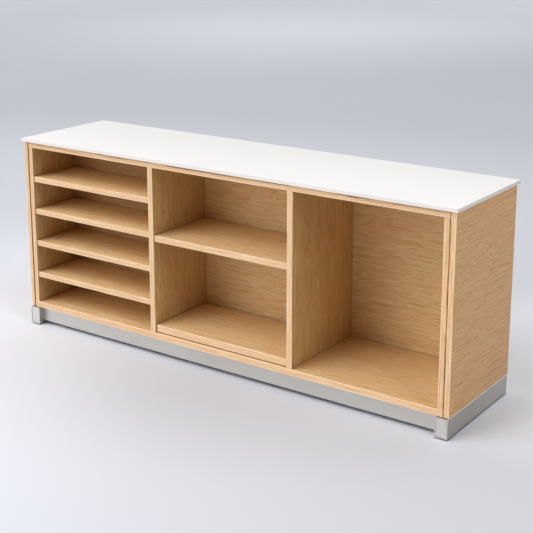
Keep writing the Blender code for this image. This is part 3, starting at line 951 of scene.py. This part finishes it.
@dataclass
class Slab:
    """The white slab: an edge section with rounded arrises, carried round the plan."""

    node: str = "top_slab"
    corner_radius: float = 0.004
    top_radius: float = 0.0010
    bottom_radius: float = 0.0010
    flat_margin: float = 0.0035
    arc_steps: int = 5

    def section(self, height: float) -> np.ndarray:
        """The open edge section: distance outwards from the inner margin, and height.

        Args:
            height: the slab's thickness.

        Returns:
            Points from the top's margin, round the edge, to the bottom's margin.
        """
        above, below = self.top_radius, self.bottom_radius
        top = arc((-above, height - above), above, 90.0, 0.0, self.arc_steps)
        bottom = arc((-below, below), below, 0.0, -90.0, self.arc_steps)
        return np.vstack([[[-self.flat_margin, height]], top, bottom, [[-self.flat_margin, 0.0]]])

    def plan(self, half_x: float, half_y: float) -> tuple[np.ndarray, np.ndarray]:
        """The rounded rectangle that the section is carried round.

        Args:
            half_x: half of the slab's width.
            half_y: half of its depth.

        Returns:
            Centres of the corner arcs, and outward directions, one of each a station.
        """
        turn = np.radians(np.linspace(0.0, 90.0, self.arc_steps + 1))
        angles = (turn + np.radians([[0.0], [90.0], [180.0], [270.0]])).ravel()
        signs = np.repeat([[1, 1], [-1, 1], [-1, -1], [1, -1]], self.arc_steps + 1, axis=0)
        centres = signs * (np.array([half_x, half_y]) - self.corner_radius)
        return centres, np.stack([np.cos(angles), np.sin(angles)], axis=1)

    def build(self, finishes: Finishes) -> bpy.types.Object:
        """Carry the section: point = corner centre + direction x (corner radius + outward distance).

        The margin stays narrower than the corner's radius, so the flat inside
        it is a plain polygon. The arris value is 1 on the outer part of the upper
        rounding, and fades down the sawn edge to 0 at the lower one.

        Args:
            finishes: the shared finishes.

        Returns:
            The slab.
        """
        low, high = (np.array(corner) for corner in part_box(self.node))
        section = self.section(high[2] - low[2])
        half = (high - low) / 2
        middle = (high + low) / 2
        centres, outward = self.plan(half[0], half[1])
        reach = self.corner_radius + section[:, 0]
        plan = centres[:, None, :] + outward[:, None, :] * reach[None, :, None]
        points = np.empty((*plan.shape[:2], 3))
        points[..., :2] = middle[:2] + plan
        points[..., 2] = low[2] + section[:, 1]
        stations, count = plan.shape[:2]
        faces = Surface.grid_faces(stations, count, close_rows=True, close_columns=False)[:, ::-1].tolist()
        first = np.arange(stations) * count
        faces += [first.tolist(), (first + count - 1)[::-1].tolist()]
        outer = (section[:, 0] > -self.top_radius / 2) & (section[:, 1] > half[2])
        sawn = np.tile(outer.astype(float), stations)
        surface = Surface(points.reshape(-1, 3), faces, sawn)
        slab = surface.piece(self.node + "_rounded", finishes.slab, Body.CASE)
        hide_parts(self.node)
        return slab


@dataclass(frozen=True)
class ShadedEdge:
    """An arris of a lipping painted dark as shade, beside a reveal or under the slab.

    Side 0 is the lower or left arris, and 1 the upper or right one. Its value is
    below 0, which is painted shade, and the whole strip may have a tone of its own.
    """

    side: int
    arris_wear_and_light: float
    tone: float = 0.0
    radius: float = 0.0020
    band: float = 0.0030

    def options(self) -> dict[str, tuple[float, float] | float]:
        """What the edge changes on its strip.

        Returns:
            Values of the lipping's fields.
        """
        radii, arris_wear_and_light, bands = list(Lipping.radii), list(Lipping.arris_wear_and_light), list(Lipping.bands)
        radii[self.side] = self.radius
        arris_wear_and_light[self.side] = self.arris_wear_and_light
        bands[self.side] = self.band
        return {"radii": tuple(radii), "arris_wear_and_light": tuple(arris_wear_and_light), "bands": tuple(bands), "tone": self.tone}


@dataclass
class Case:
    """The oak case: veneered boards, each with its grain, and the lippings on their edges."""

    level_boards: tuple[str, ...] = ("case_bottom", "case_top", "sorter_shelf_1", "sorter_shelf_2",
                                     "sorter_shelf_3", "sorter_shelf_4", "middle_shelf")
    partitions: tuple[str, ...] = ("left_partition", "right_partition")
    sides: tuple[str, ...] = ("left_carcass_side", "right_carcass_side")
    end_panels: tuple[str, ...] = ("left_end_panel", "right_end_panel")
    backs: tuple[str, ...] = ("middle_bay_back", "right_bay_back", "rear_panel")
    sorter_back: str = "left_bay_back"
    # painted shade on the lipping arrises beside the reveals and under the slab
    shaded_edges: ClassVar[dict[str, ShadedEdge]] = {
        "case_top": ShadedEdge(1, -1.0, radius=0.0010, band=0.0100),
        "left_end_panel": ShadedEdge(1, -2.2),
        "left_carcass_side": ShadedEdge(0, -2.2),
        "right_carcass_side": ShadedEdge(1, -0.4, tone=-0.20),
        "right_end_panel": ShadedEdge(0, -0.4, tone=-0.15),
    }
    spacers: tuple[str, ...] = ("left_reveal_spacer", "right_reveal_spacer", "left_base_spacer",
                                "right_base_spacer")

    def build(self, finishes: Finishes) -> None:
        """Make the lippings of the case's boards.

        Args:
            finishes: the shared finishes.
        """
        uprights = (*self.partitions, *self.sides, *self.end_panels)
        for run, boards in ((Run.X, self.level_boards), (Run.Z, uprights)):
            for board in boards:
                edge = self.shaded_edges.get(board)
                Lipping(board, run, **(edge.options() if edge else {})).build(finishes)
        for board in self.end_panels:
            Lipping(board, Run.Z, facing=1).build(finishes)

    def dress(self, finishes: Finishes) -> None:
        """Give each board the copy of the veneer whose grain runs its way, darker as painted shade on the
        uprights, end panels and sorter's back.

        Args:
            finishes: the shared finishes.
        """
        dress((*self.level_boards, *self.backs), finishes.level)
        dress([self.sorter_back], finishes.shaded)
        dress((*self.partitions, *self.sides), finishes.upright)
        dress(self.end_panels, finishes.end)
        dress(self.spacers, finishes.rubber)


@dataclass
class PullOut:
    """The pull-out shelf with its lipping, and the steel that guides and stops it."""

    board: str = "pull_out_shelf"
    steel: tuple[str, ...] = ("left_runner_bar", "right_runner_bar", "left_stop_peg", "right_stop_peg")

    def build(self, finishes: Finishes) -> None:
        """Make the lipping, which moves with the shelf."""
        Lipping(self.board, Run.X, body=Body.PULL_OUT).build(finishes)

    def dress(self, finishes: Finishes) -> None:
        """Veneer the shelf, and plate its bars and pegs."""
        dress([self.board], finishes.level)
        dress(self.steel, finishes.steel)


@dataclass
class ShelfPins:
    """The plated pins under the loose shelves."""

    def dress(self, finishes: Finishes) -> None:
        """Plate every pin."""
        dress([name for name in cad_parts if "_pin_" in name], finishes.steel)


@dataclass
class RearScrews:
    """Domed cross-head screws that hold the rear panel to the boards in front of it."""

    panel: str = "rear_panel"
    rows_on: tuple[str, ...] = ("case_bottom", "case_top")
    uprights: tuple[str, ...] = ("left_carcass_side", "left_partition",
                                 "right_partition", "right_carcass_side")
    columns: int = 5
    end_margin: float = 0.060
    radius: float = 0.0045
    dome: float = 0.0016
    dome_fall: float = 0.96
    slot_length: float = 0.0026
    slot_width: float = 0.0007
    slot_depth: float = 0.0010
    slot_floor: float = 0.625
    slot_rim: float = 1.25
    rings: int = 10
    spokes: int = 32

    def places(self) -> np.ndarray:
        """Where the screws are: evenly along the level boards, and at mid height on the uprights.

        Returns:
            An array of x and z, one row a screw.
        """
        low, high = (np.array(corner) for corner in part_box(self.panel))
        x = np.linspace(low[0] + self.end_margin, high[0] - self.end_margin, self.columns)
        heights = [sum(corner[2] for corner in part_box(board)) / 2 for board in self.rows_on]
        level = np.stack(np.meshgrid(x, heights, indexing="ij"), axis=-1).reshape(-1, 2)
        sides = [sum(corner[0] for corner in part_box(board)) / 2 for board in self.uprights]
        middle = (low[2] + high[2]) / 2
        return np.vstack([level, [[side, middle] for side in sides]])

    def head(self) -> np.ndarray:
        """One head, by radius and angle: its height is a dome less a cross with sloping walls.

        The dome falls with the root of 1 less a part of the radius squared. The cross has
        its full depth to the slot's floor and none past its rim, both in shares of the slot.

        Returns:
            Points (rings, spokes, 3), with the seat at y = 0 and the dome towards +Y.
        """
        share = np.linspace(0.0, 1.0, self.rings)[:, None]
        angle = np.linspace(0.0, 2 * np.pi, self.spokes, endpoint=False)[None, :]
        x = self.radius * share * np.cos(angle)
        z = self.radius * share * np.sin(angle)
        arm = np.minimum(np.maximum(abs(x) / self.slot_width, abs(z) / self.slot_length),
                         np.maximum(abs(z) / self.slot_width, abs(x) / self.slot_length))
        wall = (self.slot_rim - arm) / (self.slot_rim - self.slot_floor)
        height = self.dome * np.sqrt(1.0 - self.dome_fall * share**2)
        height = height - self.slot_depth * np.clip(wall, 0.0, 1.0)
        height = np.where(share < 1.0, height, 0.0)
        return np.stack([x, np.broadcast_to(height, x.shape), z], axis=-1)

    def build(self, finishes: Finishes) -> bpy.types.Object:
        """Set a copy of the head at each place on the rear panel.

        Args:
            finishes: the shared finishes.

        Returns:
            The screws, as one piece.
        """
        places = self.places()
        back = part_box(self.panel)[1][1]
        head = self.head().reshape(-1, 3)
        seats = np.stack([places[:, 0], np.full(len(places), back), places[:, 1]], axis=1)
        points = (seats[:, None, :] + head[None, :, :]).reshape(-1, 3)
        faces = Surface.grid_faces(self.rings, self.spokes, close_rows=False, close_columns=True)
        offsets = len(head) * np.arange(len(places))
        every = (faces[None] + offsets[:, None, None]).reshape(-1, 4).tolist()
        rim = np.arange(self.spokes) + (self.rings - 1) * self.spokes
        every += (rim[None, ::-1] + offsets[:, None]).tolist()
        screws = Surface(points, every)
        return screws.piece("rear_panel_screws", finishes.steel, Body.CASE)


@dataclass
class Plinth:
    """The metal plinth: tube rails with caps, the toe kick, the rear rail and the rubber feet."""

    rails: tuple[str, ...] = ("left_base_rail", "right_base_rail")
    channels: tuple[str, ...] = ("toe_kick_plate", "rear_cross_rail")

    def dress(self, finishes: Finishes) -> None:
        """Brush each piece along its length.

        Args:
            finishes: the shared finishes.
        """
        # the rails: the darker copy of the metal as painted shade, with a painted highlight on their
        # arrises
        for name in self.rails:
            dress([name], finishes.RAIL_SHADED.material(Run.Y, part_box(name)))
        dress(self.channels, finishes.channel)
        # the caps: the lighter copy of the metal as painted light
        dress([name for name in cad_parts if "_rail_cap_" in name], finishes.cap)
        dress([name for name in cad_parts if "_foot_" in name], finishes.rubber)


@dataclass
class Sun:
    """A far lamp with a soft edge, named by where its light comes from.

    Azimuth 0 is in front of the object and 90 is at its right; elevation is
    above the floor, and spread is how wide the lamp looks, all in degrees.
    """

    name: str
    azimuth: float
    elevation: float
    spread: float
    strength: float
    tint: Colour = UNTINTED

    def build(self) -> bpy.types.Object:
        """Make the lamp.

        Returns:
            The lamp.
        """
        lamp = bpy.data.lights.new(self.name, "SUN")
        lamp.angle = radians(self.spread)
        lamp.energy = self.strength
        lamp.color = self.tint
        made = bpy.data.objects.new(self.name, lamp)
        made.rotation_euler = (radians(90.0 - self.elevation), 0.0, radians(self.azimuth))
        bpy.context.scene.collection.objects.link(made)
        LOG.info("lit %s", self.name)
        return made


@dataclass
class Studio:
    """The pale floor, the soft light and the camera."""

    floor_radius: float = 60.0
    floor_rings: int = 24
    floor_spokes: int = 64
    sky: Colour = (0.02, 0.02, 0.02)
    backdrop: Colour = (0.66, 0.69, 0.735)
    lamps: tuple[Sun, ...] = (
        Sun("key", -40.0, 25.0, 55.0, 1.13, (0.94, 1.0, 1.0)),
        Sun("left", -90.0, 30.0, 60.0, 1.08, (1.03, 1.0, 0.97)),
        Sun("low_front", -20.0, 18.0, 40.0, 0.26),
        Sun("high_left", -35.0, 54.0, 35.0, 1.04, (1.06, 1.0, 1.03)),
        Sun("right_front", 76.0, 30.0, 30.0, 0.40, (1.04, 1.0, 0.97)),
        Sun("right_high", 80.0, 50.0, 40.0, 0.66, (1.02, 1.0, 0.99)),
        Sun("back", 180.0, 45.0, 60.0, 0.62),
    )
    camera_place: Point = (2.382, -3.284, 1.636)
    camera_azimuth: float = 35.17
    camera_pitch: float = 13.77
    focal_pixels: float = 1168.9
    shift: float = -0.15

    def build_floor(self) -> None:
        """Make the floor, a disc of rings that lie further apart towards its rim.

        A point's distance from the middle is the disc's radius times the square of its
        ring's share of all rings, and the spokes are evenly spaced angles.
        """
        share = (np.arange(self.floor_rings + 1) / self.floor_rings)[:, None] ** 2
        angle = np.linspace(0.0, 2 * np.pi, self.floor_spokes, endpoint=False)[None, :]
        x = self.floor_radius * share * np.cos(angle)
        y = self.floor_radius * share * np.sin(angle)
        points = np.stack([x, y, np.zeros_like(x)], axis=-1)
        faces = Surface.grid_faces(*x.shape, close_rows=False, close_columns=True)
        mesh = bpy.data.meshes.new("floor")
        mesh.from_pydata(points.reshape(-1, 3).tolist(), [], faces[:, ::-1].tolist())
        mesh.materials.append(FloorPaint().material())
        floor = bpy.data.objects.new("floor", mesh)
        bpy.context.scene.collection.objects.link(floor)

    def build_sky(self) -> None:
        """Make an even sky: faint as light, and of the floor's far tone where it is seen."""
        world = bpy.data.worlds.new("studio")
        graph = Graph(world)
        light, seen = (graph.node("ShaderNodeBackground", inputs={"Color": (*colour, 1.0)})
                       for colour in (self.sky, self.backdrop))
        surface = graph.node("ShaderNodeMixShader", inputs={0: graph.shown(), 1: light, 2: seen})
        graph.node("ShaderNodeOutputWorld", inputs={"Surface": surface})
        bpy.context.scene.world = world

    def build_camera(self) -> None:
        """Make the camera, at the photograph's viewing angle."""
        data = bpy.data.cameras.new("camera")
        data.sensor_width = SENSOR_WIDTH
        data.lens = SENSOR_WIDTH * self.focal_pixels / IMAGE_SIDE
        data.shift_y = self.shift
        camera = bpy.data.objects.new("camera", data)
        camera.location = self.camera_place
        camera.rotation_euler = (radians(90.0 - self.camera_pitch), 0.0, radians(self.camera_azimuth))
        bpy.context.scene.collection.objects.link(camera)
        bpy.context.scene.camera = camera

    def build(self) -> None:
        """Make the floor, the light and the camera."""
        self.build_floor()
        self.build_sky()
        for lamp in self.lamps:
            lamp.build()
        self.build_camera()
        bpy.context.scene.view_settings.view_transform = "Standard"


def main() -> None:
    """Dress the credenza and set up its studio."""
    logging.basicConfig(level=logging.INFO, format="%(name)s: %(message)s")
    finishes = Finishes()
    Slab().build(finishes)
    case = Case()
    case.build(finishes)
    case.dress(finishes)
    pull_out = PullOut()
    pull_out.build(finishes)
    pull_out.dress(finishes)
    ShelfPins().dress(finishes)
    RearScrews().build(finishes)
    Plinth().dress(finishes)
    Studio().build()


if __name__ == "__main__":
    main()
